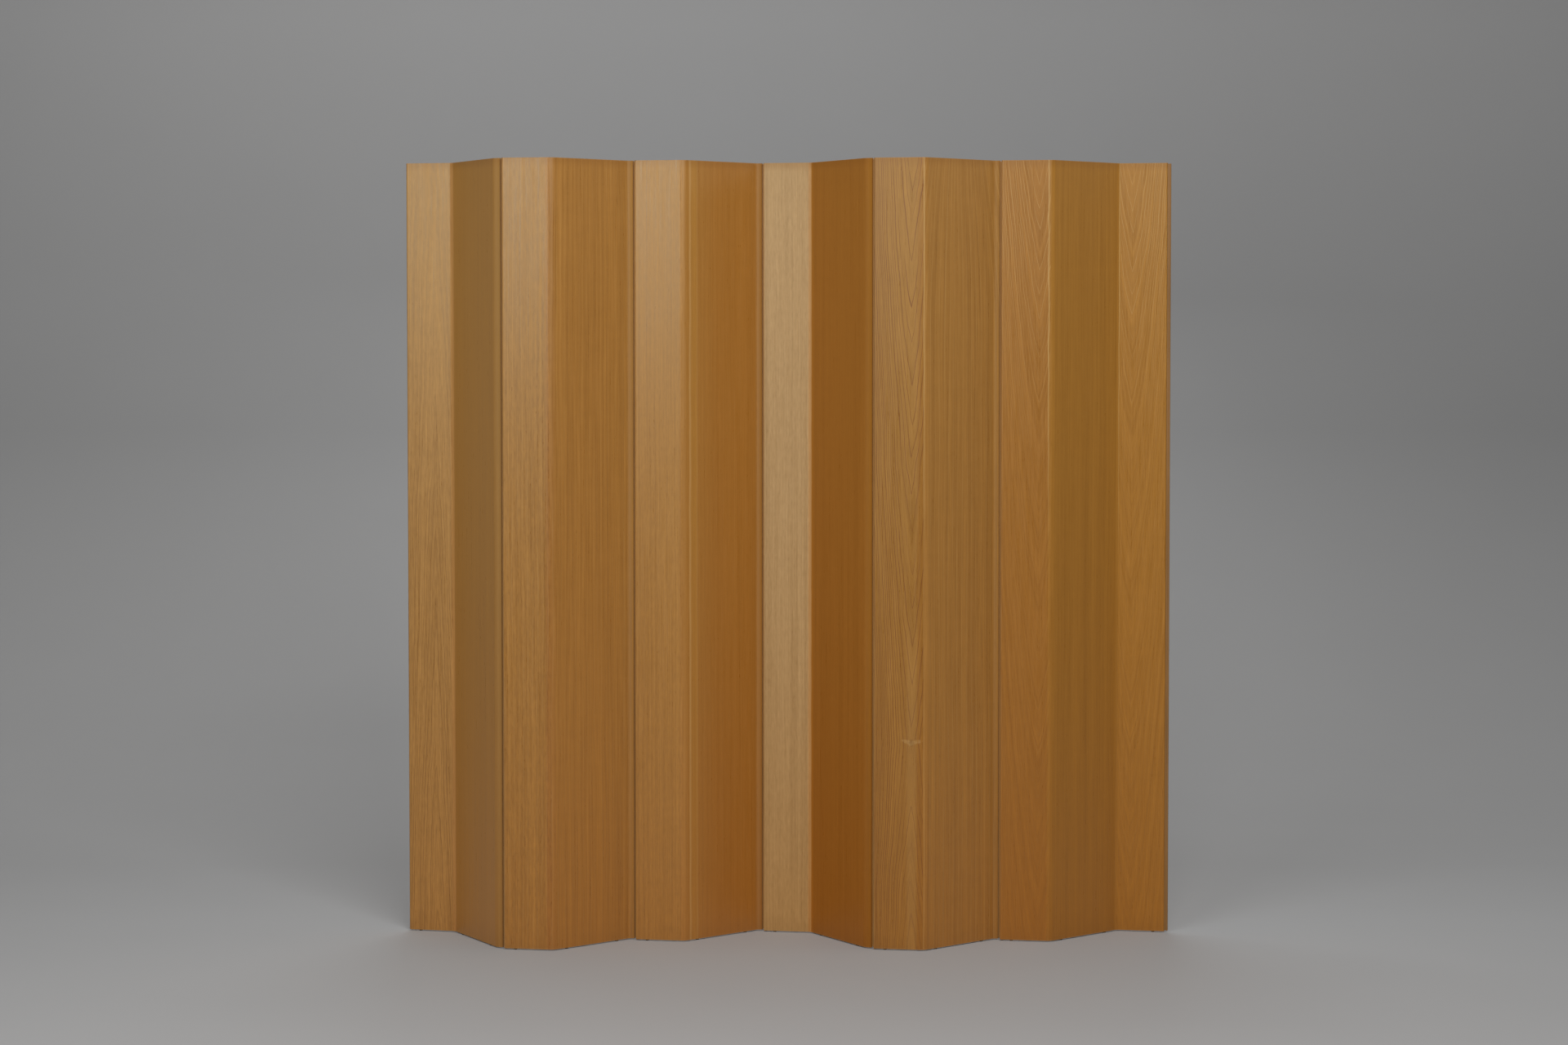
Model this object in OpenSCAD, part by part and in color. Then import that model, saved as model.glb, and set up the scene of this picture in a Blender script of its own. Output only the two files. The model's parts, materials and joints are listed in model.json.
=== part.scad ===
// Folding room divider of six moulded plywood panels.
// Every panel is one Z-shaped plywood moulding: a flange, a web bent 45 degrees off it and a second,
// parallel flange. Panels 1 and 4 are the same moulding turned over, so their webs come forward.
// The panels are joined by full-height bead and socket strips. Each left edge laps in front of the
// right edge beside it and hides the hinge. Every panel stands on low nail-on glides.
// The front of the screen faces -Y, the floor is z = 0 and x runs to the right along the screen.

/* [Panels] */
// Height of the screen over its glides
screen_h = 1730; // [1200:5:2100]
// Thickness of the plywood
ply_t = 8; // [7:0.5:11]
// Left flange of a panel, from its edge to the sharp corner of the bend
flange_w = 110; // [80:1:160]
// Web between the sharp corners of the two bends
web_w = 200; // [120:1:260]
// Right lip of panels 1 to 5, from the sharp corner of the bend to its edge
lip_w = 12.5; // [12.5:0.5:30]
// Right flange of the last panel, from the sharp corner of the bend to its edge
end_flange_w = 110; // [60:1:160]
// Angle between a flange and the web
bend_a = 45; // [35:1:50]
// Inner radius of the bends
bend_r = 16; // [12:0.5:17]

/* [Stance] */
// Turn of all flanges against the line of the screen
stance_a = 8.5; // [0:0.5:15]
// Further turn of the first panel in its hinge
first_turn_a = 2.7; // [-10:0.1:10]

/* [Hinges] */
// Radius of the bead
bead_r = 2.4; // [2:0.1:2.6]
// Radial running clearance between bead and socket
hinge_fit = 0.05; // [0.03:0.01:0.1]
// Thickness of the bead strip's neck and tongue
neck_t = 1.4; // [1:0.1:1.6]
// Distance from the plywood edge to the centre of the bead
neck_w = 5; // [4.8:0.1:6]
// Depth of the tongue in its kerf in the plywood edge
tongue_w = 8; // [5:0.5:9]
// Wall of the socket
socket_wall = 1.2; // [1:0.1:1.3]
// Width of the socket strip's foot, from the centre of the bead
foot_w = 18; // [14:1:24]
// Thickness of the socket strip's foot
foot_t = 1.8; // [1.6:0.1:2]
// Swing of each hinge to either side
swing_a = 45; // [20:1:45]
// How far the left edge of a panel covers the centre of the bead
lap_w = 2; // [1.5:0.1:2.1]
// Play between the lapping faces of two panels
lap_play = 0.3; // [0.3:0.05:0.6]
// Strips stop short of the top and bottom of the plywood by this much
strip_inset = 1.5; // [0:0.5:5]

/* [Socket screws] */
// Number of screws in a socket strip
screw_count = 9; // [5:1:13]
// Distance from the ends of the plywood to the first and last screw
screw_end = 60; // [30:5:120]
// Radius of the screw shank
screw_r = 1.2; // [1:0.1:1.3]
// Length of the screw under its head plate
screw_len = 7.5; // [5:0.5:8]
// Radius of the countersunk head
screw_head_r = 2.3; // [2:0.1:2.4]

/* [Glides] */
// Radius of a glide's foot
glide_r = 3.6; // [2.5:0.1:3.8]
// Height of a glide's foot under the plywood
glide_h = 2.5; // [1.5:0.5:6]
// Radius of a glide's nail
glide_nail_r = 1; // [0.8:0.1:1.5]
// Length of a glide's nail in the plywood
glide_nail_len = 14; // [8:1:20]
// Distance of a glide from the panel's edge or from the corner of a bend
glide_inset = 26; // [20:1:35]

/* [Hidden] */
$fn = 96;

// 1 where a panel's web comes forward from left to right, -1 where it goes back
side = [1, -1, -1, 1, -1, -1];
last = len(side) - 1;
panel_h = screen_h - glide_h;
wood_color = [0.68, 0.49, 0.30];
strip_color = [0.72, 0.58, 0.36];
screw_color = [0.75, 0.66, 0.45];
glide_color = [0.16, 0.14, 0.12];

// Hinge section
socket_r = bead_r + hinge_fit;
socket_out_r = socket_r + socket_wall;
// From the bead's centre to the back face of the lapping panel
seat = ply_t / 2 + lap_play;
// From the bead's centre to the middle of the lapping panel's thickness
lap_step = seat + ply_t / 2;
// The mouth leaves the neck free over the whole swing, with this many degrees to spare
mouth_margin = 2;
mouth_a = swing_a + asin(neck_t / 2 / socket_r) + mouth_margin;
kerf_play = 0.05;
// How far a cut runs past the face it opens
overshoot = 1;

// Bends, measured at the middle of the thickness
mid_r = bend_r + ply_t / 2;
bend_len = mid_r * tan(bend_a / 2);
// Rounds are this much larger than a true tangent arc, so that they cross the flat faces
ease = 0.02;
edge_r = ply_t / 2 + ease;

// Right-hand flange or lip of panel i, never too short for its bend and its round edge
function tail_w(i) = max(i == last ? end_flange_w : lip_w, bend_len + edge_r);
// Corners of panel i's middle line, from its left hinge axis
function corner_1() = [flange_w - lap_w, -lap_step];
function corner_2(i) = corner_1() + web_w * [cos(bend_a), -side[i] * sin(bend_a)];
// Middles of the round edges and of the bends of panel i
left_end = [-lap_w + edge_r, -lap_step];
function right_end(i) = corner_2(i) + [tail_w(i) - edge_r, 0];
function bend_1(i) = corner_1() - [bend_len, side[i] * mid_r];
function bend_2(i) = corner_2(i) + [bend_len, side[i] * mid_r];
// From the left to the right hinge axis of panel i
function span(i) = corner_2(i) + [tail_w(i) + neck_w, 0];

function turned(p, a) = [p[0] * cos(a) - p[1] * sin(a), p[0] * sin(a) + p[1] * cos(a)];
// Turn of panel i from the line of the screen
function turn_a(i) = -stance_a - (i == 0 ? first_turn_a : 0);
// Left hinge axis of panel i, from that of panel 1
function chain(i) =
    i == 0 ? -turned(span(0), turn_a(0)) :
    i == 1 ? [0, 0] :
    chain(i - 1) + turned(span(i - 1), turn_a(i - 1));
function in_chain(i, p) = chain(i) + turned(p, turn_a(i));

// The middle of the screen's outline comes to the origin. At the back and the front it ends at a
// round edge, or at the outside of a bend where the web goes back
function edge_y(i) = [in_chain(i, left_end)[1], in_chain(i, right_end(i))[1]];
function back_y(i) = max(
    max(edge_y(i)) + ply_t / 2,
    side[i] < 0 ? in_chain(i, bend_2(i))[1] + bend_r + ply_t : edge_y(i)[0]
);
function front_y(i) = min(
    min(edge_y(i)) - ply_t / 2,
    side[i] < 0 ? in_chain(i, bend_1(i))[1] - bend_r - ply_t : edge_y(i)[0]
);
low_x = in_chain(0, left_end)[0] - edge_r;
high_x = in_chain(last, span(last))[0] + bead_r;
low_y = min([for (i = [0:last]) front_y(i)]);
high_y = max([for (i = [0:last]) back_y(i)]);
centre = [(low_x + high_x) / 2, (low_y + high_y) / 2];
function axis_xy(i) = chain(i) - centre;

// Moves children from panel i's own frame, at its left hinge axis, into the screen
module at_panel(i) {
    translate([axis_xy(i)[0], axis_xy(i)[1], 0])
        rotate(turn_a(i))
            children();
}

// Moves children to the right hinge axis of panel i
module at_right_axis(i) {
    at_panel(i)
        translate([span(i)[0], span(i)[1], 0])
            children();
}

// Kite from the middle of a bend over its whole angle, towards mid_a, with its far sides at reach
module bend_kite(mid_a, reach) {
    half_a = bend_a / 2;
    polygon([
        [0, 0],
        reach * [cos(mid_a - half_a), sin(mid_a - half_a)],
        reach / cos(half_a) * [cos(mid_a), sin(mid_a)],
        reach * [cos(mid_a + half_a), sin(mid_a + half_a)]
    ]);
}

// Fills the inside of a sharp corner up to the inner radius
module bend_fill(mid_a) {
    difference() {
        bend_kite(mid_a, mid_r);
        circle(r = bend_r + ease);
    }
}

// What the outer radius takes off a sharp corner
module bend_cut(mid_a) {
    difference() {
        bend_kite(mid_a, bend_r + 2 * ply_t);
        circle(r = bend_r + ply_t + ease);
    }
}

// What the rounding takes off an edge that ends on the left
module edge_cut() {
    difference() {
        translate([-ply_t, -ply_t])
            square([ply_t, 2 * ply_t]);
        circle(r = edge_r);
    }
}

// Section of panel i: three straight stretches with bends between them and rounded edges
module panel_section(i) {
    s = side[i];
    half = ply_t / 2;
    over = half * tan(bend_a / 2);
    mid_1 = s * (90 - bend_a / 2);
    mid_2 = -s * (90 + bend_a / 2);
    difference() {
        union() {
            translate([-lap_w, -lap_step - half])
                square([flange_w + over, ply_t]);
            translate(corner_1())
                rotate(-s * bend_a)
                    translate([-over, -half])
                        square([web_w + 2 * over, ply_t]);
            translate(corner_2(i) - [over, half])
                square([tail_w(i) + over, ply_t]);
            translate(bend_1(i))
                bend_fill(mid_1);
            translate(bend_2(i))
                bend_fill(mid_2);
        }
        translate(bend_1(i))
            bend_cut(mid_1);
        translate(bend_2(i))
            bend_cut(mid_2);
        translate(left_end)
            edge_cut();
        translate(right_end(i))
            mirror([1, 0])
                edge_cut();
    }
}

// Bead strip round the hinge axis: tongue, neck and bead, enlarged by play for the kerf
module bead_section(play) {
    translate([-neck_w - tongue_w - play, -neck_t / 2 - play])
        square([neck_w + tongue_w + play, neck_t + 2 * play]);
    circle(r = bead_r);
}

// Socket strip round the hinge axis: a slotted tube with a flat foot behind the panel
module socket_section() {
    reach = 2 * socket_out_r;
    difference() {
        union() {
            circle(r = socket_out_r);
            translate([0, -seat])
                square([foot_w, foot_t]);
            translate([0, -seat])
                square([socket_r, seat]);
        }
        circle(r = socket_r);
        polygon([
            [0, 0],
            reach * [cos(180 - mouth_a), sin(180 - mouth_a)],
            [-reach, reach],
            [-reach, -reach],
            reach * [cos(180 + mouth_a), sin(180 + mouth_a)]
        ]);
    }
}

function screw_z(k) = screw_end + k * (panel_h - 2 * screw_end) / (screw_count - 1);
screw_x = (socket_out_r + foot_w) / 2;

// Puts children at every screw of the socket strip on panel i, pointing to the front
module at_screws(i) {
    at_panel(i)
        for (k = [0:screw_count - 1])
            translate([screw_x, -seat + foot_t, glide_h + screw_z(k)])
                rotate([90, 0, 0])
                    children();
}

// Half section of a countersunk screw, head flush with the foot, or of its hole
module screw_shape(play) {
    polygon([
        [0, 0],
        [screw_head_r + play, 0],
        [screw_r + play, screw_head_r - screw_r],
        [screw_r + play, screw_len + play],
        [0, screw_len + play]
    ]);
}

module screw() {
    rotate_extrude()
        screw_shape(0);
}

// The hole is open above the foot's face
module screw_hole() {
    rotate_extrude()
        union() {
            screw_shape(kerf_play);
            translate([0, -overshoot])
                square([screw_head_r + kerf_play, 2 * ease + overshoot]);
        }
}

// Where the glides of panel i stand on its middle line
function glide_points(i) = concat(
    [
        [-lap_w + glide_inset, -lap_step],
        corner_1() + (bend_len + glide_inset) * [cos(bend_a), -side[i] * sin(bend_a)],
        corner_2(i) - (bend_len + glide_inset) * [cos(bend_a), -side[i] * sin(bend_a)]
    ],
    i == last ? [corner_2(i) + [end_flange_w - glide_inset, 0]] : []
);

module at_glides(i) {
    at_panel(i)
        for (p = glide_points(i))
            translate([p[0], p[1], 0])
                children();
}

// Plywood moulding of panel i with its kerf, screw holes and nail holes
module panel(i) {
    color(wood_color)
        difference() {
            translate([0, 0, glide_h])
                at_panel(i)
                    linear_extrude(panel_h)
                        panel_section(i);
            at_right_axis(i)
                translate([0, 0, glide_h - overshoot])
                    linear_extrude(panel_h + 2 * overshoot)
                        bead_section(kerf_play);
            if (i > 0)
                at_screws(i)
                    screw_hole();
            at_glides(i)
                translate([0, 0, glide_h - overshoot])
                    cylinder(h = glide_nail_len + overshoot + kerf_play, r = glide_nail_r + kerf_play);
        }
}

module bead_strip(i) {
    color(strip_color)
        at_right_axis(i)
            translate([0, 0, glide_h + strip_inset])
                linear_extrude(panel_h - 2 * strip_inset)
                    bead_section(0);
}

// Socket strip of hinge i, screwed to the back of panel i
module socket_strip(i) {
    color(strip_color)
        difference() {
            at_panel(i)
                translate([0, 0, glide_h + strip_inset])
                    linear_extrude(panel_h - 2 * strip_inset)
                        socket_section();
            at_screws(i)
                screw_hole();
        }
}

module socket_screws(i) {
    color(screw_color)
        at_screws(i)
            screw();
}

// Glide: a flat foot on a nail
module glides(i) {
    color(glide_color)
        at_glides(i) {
            cylinder(h = glide_h, r = glide_r);
            cylinder(h = glide_h + glide_nail_len, r = glide_nail_r);
        }
}

module panel_1() { panel(0); }
module panel_2() { panel(1); }
module panel_3() { panel(2); }
module panel_4() { panel(3); }
module panel_5() { panel(4); }
module panel_6() { panel(5); }
module bead_strip_1() { bead_strip(0); }
module bead_strip_2() { bead_strip(1); }
module bead_strip_3() { bead_strip(2); }
module bead_strip_4() { bead_strip(3); }
module bead_strip_5() { bead_strip(4); }
module bead_strip_6() { bead_strip(5); }
module socket_strip_1() { socket_strip(1); }
module socket_strip_2() { socket_strip(2); }
module socket_strip_3() { socket_strip(3); }
module socket_strip_4() { socket_strip(4); }
module socket_strip_5() { socket_strip(5); }
module socket_screws_1() { socket_screws(1); }
module socket_screws_2() { socket_screws(2); }
module socket_screws_3() { socket_screws(3); }
module socket_screws_4() { socket_screws(4); }
module socket_screws_5() { socket_screws(5); }
module glides_1() { glides(0); }
module glides_2() { glides(1); }
module glides_3() { glides(2); }
module glides_4() { glides(3); }
module glides_5() { glides(4); }
module glides_6() { glides(5); }

panel_1();
panel_2();
panel_3();
panel_4();
panel_5();
panel_6();
bead_strip_1();
bead_strip_2();
bead_strip_3();
bead_strip_4();
bead_strip_5();
bead_strip_6();
socket_strip_1();
socket_strip_2();
socket_strip_3();
socket_strip_4();
socket_strip_5();
socket_screws_1();
socket_screws_2();
socket_screws_3();
socket_screws_4();
socket_screws_5();
glides_1();
glides_2();
glides_3();
glides_4();
glides_5();
glides_6();
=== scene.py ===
import json
import math

import bpy
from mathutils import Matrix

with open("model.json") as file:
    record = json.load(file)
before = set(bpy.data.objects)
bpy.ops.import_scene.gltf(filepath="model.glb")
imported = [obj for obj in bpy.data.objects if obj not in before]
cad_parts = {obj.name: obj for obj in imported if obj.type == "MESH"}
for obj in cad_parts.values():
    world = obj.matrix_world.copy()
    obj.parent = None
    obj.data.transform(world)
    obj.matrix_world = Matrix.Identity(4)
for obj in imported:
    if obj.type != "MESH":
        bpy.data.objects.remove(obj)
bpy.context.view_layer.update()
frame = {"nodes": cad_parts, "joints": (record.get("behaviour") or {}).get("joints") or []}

nodes = frame["nodes"]


# Six moulded plywood leaves, each a tall Z of thin birch plies pressed in one
# mould: a flange, a round bend, a slanting web, a second bend and a lip. The
# faces are sliced veneer under satin lacquer, and the edges show the plies.
leaf_count = 6
side = {1: 1, 2: -1, 3: -1, 4: 1, 5: -1, 6: -1}
stance = math.radians(-8.5)
first_stance = math.radians(-11.2)
leaf_turn = {i: first_stance if i == 1 else stance for i in side}

ply_thickness = 0.008
edge_inset = 0.002
neck_length = 0.005
flange_width = 0.110
web_width = 0.200
lip_width = 0.0125
end_flange_width = 0.110
middle_line_y = -0.0083
bend_angle = math.radians(45)
middle_radius = 0.020
leaf_bottom = 0.0025
leaf_top = 1.730

bend_setback = middle_radius * math.tan(bend_angle / 2)
bend_run = middle_radius * bend_angle
web_flat = web_width - 2 * bend_setback
corner_x = flange_width - edge_inset
first_bend_x = corner_x - bend_setback
web_drop = web_width * math.sin(bend_angle)
second_corner_x = corner_x + web_width * math.cos(bend_angle)
second_bend_x = second_corner_x + bend_setback
web_end = first_bend_x + edge_inset + bend_run + web_flat
tail_start = web_end + bend_run
run_length = {
    i: tail_start + (end_flange_width if i == leaf_count else lip_width) - bend_setback
    for i in side
}

# Each leaf starts at the hinge on its left. The first has none, so its start is
# worked back from the bead on its right.
hinge_place = {joint["name"]: joint["pos_m"] for joint in frame["joints"]}
leaf_start = {i: hinge_place["hinge_%d" % (i - 1)][:2] for i in side if i > 1}
bead_x = second_corner_x + lip_width + neck_length
bead_y = middle_line_y - side[1] * web_drop
first_cosine = math.cos(first_stance)
first_sine = math.sin(first_stance)
leaf_start[1] = (
    hinge_place["hinge_1"][0] - bead_x * first_cosine + bead_y * first_sine,
    hinge_place["hinge_1"][1] - bead_x * first_sine - bead_y * first_cosine,
)


def feed(tree, socket, value):
    """Links a socket to another one, or writes its value."""
    if isinstance(value, bpy.types.NodeSocket):
        tree.links.new(value, socket)
    else:
        socket.default_value = value


def put(tree, kind, feeds, **settings):
    """Adds one shader node with its settings and what feeds it."""
    made = tree.nodes.new(kind)
    for setting, value in settings.items():
        setattr(made, setting, value)
    for socket, value in feeds.items():
        feed(tree, made.inputs[socket], value)
    return made


def calc(tree, operation, *values):
    """One step of arithmetic on numbers or sockets."""
    return put(tree, "ShaderNodeMath", dict(enumerate(values)), operation=operation).outputs[0]


def reach(tree, x, y):
    """How far a point lies from where x and y are counted."""
    squares = calc(tree, "ADD", calc(tree, "MULTIPLY", x, x), calc(tree, "MULTIPLY", y, y))
    return calc(tree, "POWER", squares, 0.5)


def between(tree, value, low, high, smooth=False):
    """How far a value has gone from low to high, held between 0 and 1."""
    kind = "SMOOTHSTEP" if smooth else "LINEAR"
    feeds = {"Value": value, "From Min": low, "From Max": high}
    return put(tree, "ShaderNodeMapRange", feeds, interpolation_type=kind, clamp=True).outputs[0]


def fading(tree, value, near, far, smooth=False):
    """1 up to the near value, and nothing from the far one on."""
    return calc(tree, "SUBTRACT", 1.0, between(tree, value, near, far, smooth))


def pick(tree, chosen, first, second):
    """The second of two numbers where chosen is 1, and otherwise the first."""
    return put(tree, "ShaderNodeMix", {0: chosen, 2: first, 3: second}, data_type="FLOAT").outputs[0]


def tinted(tree, amount, first, second, how="MIX"):
    """Mixes two colours, or lays the second over the first."""
    feeds = {0: amount, 6: first, 7: second}
    return put(tree, "ShaderNodeMix", feeds, data_type="RGBA", blend_type=how).outputs[2]


def joined(tree, x, y, z):
    """Three numbers as one vector."""
    return put(tree, "ShaderNodeCombineXYZ", {0: x, 1: y, 2: z}).outputs[0]


def noise(tree, place, detail, roughness=0.5):
    """A plain noise value at a place that is already scaled."""
    feeds = {"Vector": place, "Scale": 1.0, "Detail": detail, "Roughness": roughness}
    return put(tree, "ShaderNodeTexNoise", feeds).outputs[0]


def swing(tree, place, detail, roughness=0.5):
    """Noise that swings evenly about zero."""
    return calc(tree, "SUBTRACT", noise(tree, place, detail, roughness), 0.5)


def on_sheet(tree, across, across_rate, height, up_rate, sheet):
    """The place where a pattern is read, stretched by two rates and new on each sheet."""
    return joined(tree, calc(tree, "MULTIPLY", across, across_rate), sheet,
                  calc(tree, "MULTIPLY", height, up_rate))


def new_group(title, inputs, outputs):
    """Starts a node group, and gives its tree, what it is given and what it returns."""
    tree = bpy.data.node_groups.new(title, "ShaderNodeTree")
    for name, kind in inputs.items():
        tree.interface.new_socket(name, in_out="INPUT", socket_type=kind)
    for name in outputs:
        tree.interface.new_socket(name, in_out="OUTPUT", socket_type="NodeSocketFloat")
    given = tree.nodes.new("NodeGroupInput").outputs
    result = tree.nodes.new("NodeGroupOutput").inputs
    return tree, given, result


def use_group(tree, group, feeds):
    """Places a node group in a material and gives its outputs."""
    made = tree.nodes.new("ShaderNodeGroup")
    made.node_tree = group
    for socket, value in feeds.items():
        feed(tree, made.inputs[socket], value)
    return made.outputs


def new_finish(title):
    """Starts a material, and gives it with its tree and its shader."""
    material = bpy.data.materials.new(title)
    material.use_nodes = True
    return material, material.node_tree, material.node_tree.nodes["Principled BSDF"]


def emboss(tree, shader, height, strength, depth):
    """Lets a height show as fine relief."""
    feeds = {"Strength": strength, "Distance": depth, "Height": height}
    feed(tree, shader.inputs["Normal"], put(tree, "ShaderNodeBump", feeds).outputs[0])


def linear(red, green, blue):
    """A colour as it is seen on a screen, as the shader wants it."""
    parts = [part / 255 for part in (red, green, blue)]
    parts = [p / 12.92 if p <= 0.04045 else ((p + 0.055) / 1.055) ** 2.4 for p in parts]
    return (*parts, 1.0)


def numbers(*names):
    """Group inputs that are plain numbers."""
    return {name: "NodeSocketFloat" for name in names}


# Unrolls the pressed section: how far along the veneer a point lies, and how
# deep in the plies, counted from the middle line towards the front.
tree, given, result = new_group(
    "unrolled section",
    {"Place": "NodeSocketVector", "Side": "NodeSocketFloat"},
    ("Along", "Through", "Height"),
)
parts = put(tree, "ShaderNodeSeparateXYZ", {0: given["Place"]}).outputs
x = parts[0]
rise = calc(tree, "MULTIPLY", calc(tree, "SUBTRACT", parts[1], middle_line_y), given["Side"])

first_x = calc(tree, "SUBTRACT", x, first_bend_x)
first_y = calc(tree, "ADD", rise, middle_radius)
first_angle = calc(tree, "ARCTAN2", first_x, first_y)
first_level = calc(tree, "SUBTRACT", reach(tree, first_x, first_y), middle_radius)

from_corner = calc(tree, "SUBTRACT", x, corner_x)
web_run = calc(tree, "MULTIPLY", calc(tree, "SUBTRACT", from_corner, rise), math.cos(bend_angle))
web_run = calc(tree, "SUBTRACT", web_run, bend_setback)
web_rise = calc(tree, "MULTIPLY", calc(tree, "ADD", from_corner, rise), math.cos(bend_angle))

second_x = calc(tree, "SUBTRACT", second_bend_x, x)
second_y = calc(tree, "SUBTRACT", middle_radius - web_drop, rise)
second_angle = calc(tree, "SUBTRACT", bend_angle, calc(tree, "ARCTAN2", second_x, second_y))
second_level = calc(tree, "SUBTRACT", middle_radius, reach(tree, second_x, second_y))

along = calc(tree, "ADD", calc(tree, "MINIMUM", x, first_bend_x), edge_inset)
for angle in (first_angle, second_angle):
    turned = calc(tree, "MINIMUM", calc(tree, "MAXIMUM", angle, 0.0), bend_angle)
    along = calc(tree, "MULTIPLY_ADD", turned, middle_radius, along)
on_web = calc(tree, "MINIMUM", calc(tree, "MAXIMUM", web_run, 0.0), web_flat)
along = calc(tree, "ADD", along, on_web)
past_bend = calc(tree, "MAXIMUM", calc(tree, "SUBTRACT", x, second_bend_x), 0.0)
along = calc(tree, "ADD", along, past_bend)

through = rise
for begun, level in (
    (calc(tree, "GREATER_THAN", first_angle, 0.0), first_level),
    (calc(tree, "GREATER_THAN", web_run, 0.0), web_rise),
    (calc(tree, "GREATER_THAN", web_run, web_flat), second_level),
    (calc(tree, "GREATER_THAN", x, second_bend_x), calc(tree, "ADD", rise, web_drop)),
):
    through = pick(tree, begun, through, level)
through = calc(tree, "MULTIPLY", calc(tree, "MULTIPLY", through, given["Side"]), -1.0)
feed(tree, result["Along"], along)
feed(tree, result["Through"], through)
feed(tree, result["Height"], parts[2])
unrolled_section = tree

# Growth rings of a flat-sliced sheet: each leaves a V that points towards the
# turning level, with arms that grow steeper away from the centre line. Steep
# tells how much closer the rings lie there.
wander_rate = 5.0
wander_width = 0.012
ripple_rates = (45.0, 9.0)
ripple_depth = 0.012
tree, given, result = new_group(
    "pointed rings",
    numbers("Along", "Height", "Sheet", "Centre", "Slope", "Curve", "Turn"),
    ("Ring", "Steep"),
)
wander_place = joined(tree, given["Sheet"], 0.0, calc(tree, "MULTIPLY", given["Height"], wander_rate))
wander = swing(tree, wander_place, 3.0)
centre = calc(tree, "MULTIPLY_ADD", wander, wander_width, given["Centre"])
aside = calc(tree, "ABSOLUTE", calc(tree, "SUBTRACT", given["Along"], centre))
bent = calc(tree, "MULTIPLY", aside, given["Curve"])
arms = calc(tree, "MULTIPLY", aside, calc(tree, "ADD", bent, 1.0))
ripple_place = on_sheet(tree, given["Along"], ripple_rates[0], given["Height"], ripple_rates[1],
                        given["Sheet"])
ripple = swing(tree, ripple_place, 3.0)
from_turn = calc(tree, "ABSOLUTE", calc(tree, "SUBTRACT", given["Height"], given["Turn"]))
ring = calc(tree, "SUBTRACT", calc(tree, "DIVIDE", from_turn, given["Slope"]), arms)
feed(tree, result["Ring"], calc(tree, "MULTIPLY_ADD", ripple, ripple_depth, ring))
feed(tree, result["Steep"], calc(tree, "MULTIPLY_ADD", bent, 2.0, 1.0))
pointed_rings = tree

# Growth rings of a quarter-sliced sheet: near-straight lines that drift a little,
# and draw together or apart near the top of the leaf.
fan_start = 1.35
drift_rates = (12.0, 2.2)
tree, given, result = new_group(
    "straight rings",
    numbers("Along", "Height", "Sheet", "Centre", "Fan", "Waver"),
    ("Ring", "Steep"),
)
above = calc(tree, "MAXIMUM", calc(tree, "SUBTRACT", given["Height"], fan_start), 0.0)
spread = calc(tree, "MULTIPLY_ADD", calc(tree, "MULTIPLY", above, above), given["Fan"], 1.0)
ring = calc(tree, "MULTIPLY", calc(tree, "SUBTRACT", given["Along"], given["Centre"]), spread)
drift_place = on_sheet(tree, given["Along"], drift_rates[0], given["Height"], drift_rates[1],
                       given["Sheet"])
drift = swing(tree, drift_place, 3.0)
feed(tree, result["Ring"], calc(tree, "MULTIPLY_ADD", drift, given["Waver"], ring))
feed(tree, result["Steep"], spread)
straight_rings = tree

# What the knife shows of those rings. Shade gathers broad bands, growth lines,
# fine fibres, a cross mottle and the ray flecks. Veins are the crisp borders
# between rings, and Pores the short dark openings.
layer_roughness = 0.6
pore_edge = (0.16, 0.24)
line_relief = 0.6
uneven_rates = (0.6, 1.2)
uneven_depth = 0.9
vein_width = 0.0010
vein_rates = (3.7, 5.0)
vein_break = (0.30, 0.52)
tree, given, result = new_group(
    "sliced grain",
    numbers("Ring", "Steep", "Rings", "Along", "Height", "Sheet", "Contrast", "Speckle"),
    ("Shade", "Veins", "Pores", "Relief"),
)
layers = {}
for title, source, across, up, shift, detail in (
    ("Bands", "Ring", 40.0, 0.7, 3.0, 2.0),
    ("Lines", "Ring", 170.0, 0.9, 7.0, 3.0),
    ("Fibres", "Along", 430.0, 9.0, 13.0, 1.0),
    ("Mottle", "Along", 22.0, 50.0, 17.0, 2.0),
    ("Flecks", "Along", 280.0, 50.0, 19.0, 1.0),
    ("Pores", "Along", 620.0, 80.0, 23.0, 0.0),
):
    layer_sheet = calc(tree, "ADD", given["Sheet"], shift)
    layer_place = on_sheet(tree, given[source], across, given["Height"], up, layer_sheet)
    layers[title] = swing(tree, layer_place, detail, layer_roughness)
grain = 0.0
for title, amount in (("Bands", 0.20), ("Lines", 0.62), ("Fibres", 0.34), ("Mottle", 0.10)):
    grain = calc(tree, "MULTIPLY_ADD", layers[title], amount, grain)
grain = calc(tree, "MULTIPLY", grain, given["Contrast"])
flecks = calc(tree, "MULTIPLY", layers["Flecks"], given["Speckle"])
feed(tree, result["Shade"], calc(tree, "ADD", grain, flecks))
feed(tree, result["Pores"], between(tree, layers["Pores"], *pore_edge))
feed(tree, result["Relief"], calc(tree, "MULTIPLY_ADD", layers["Lines"], line_relief, layers["Fibres"]))

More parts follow.
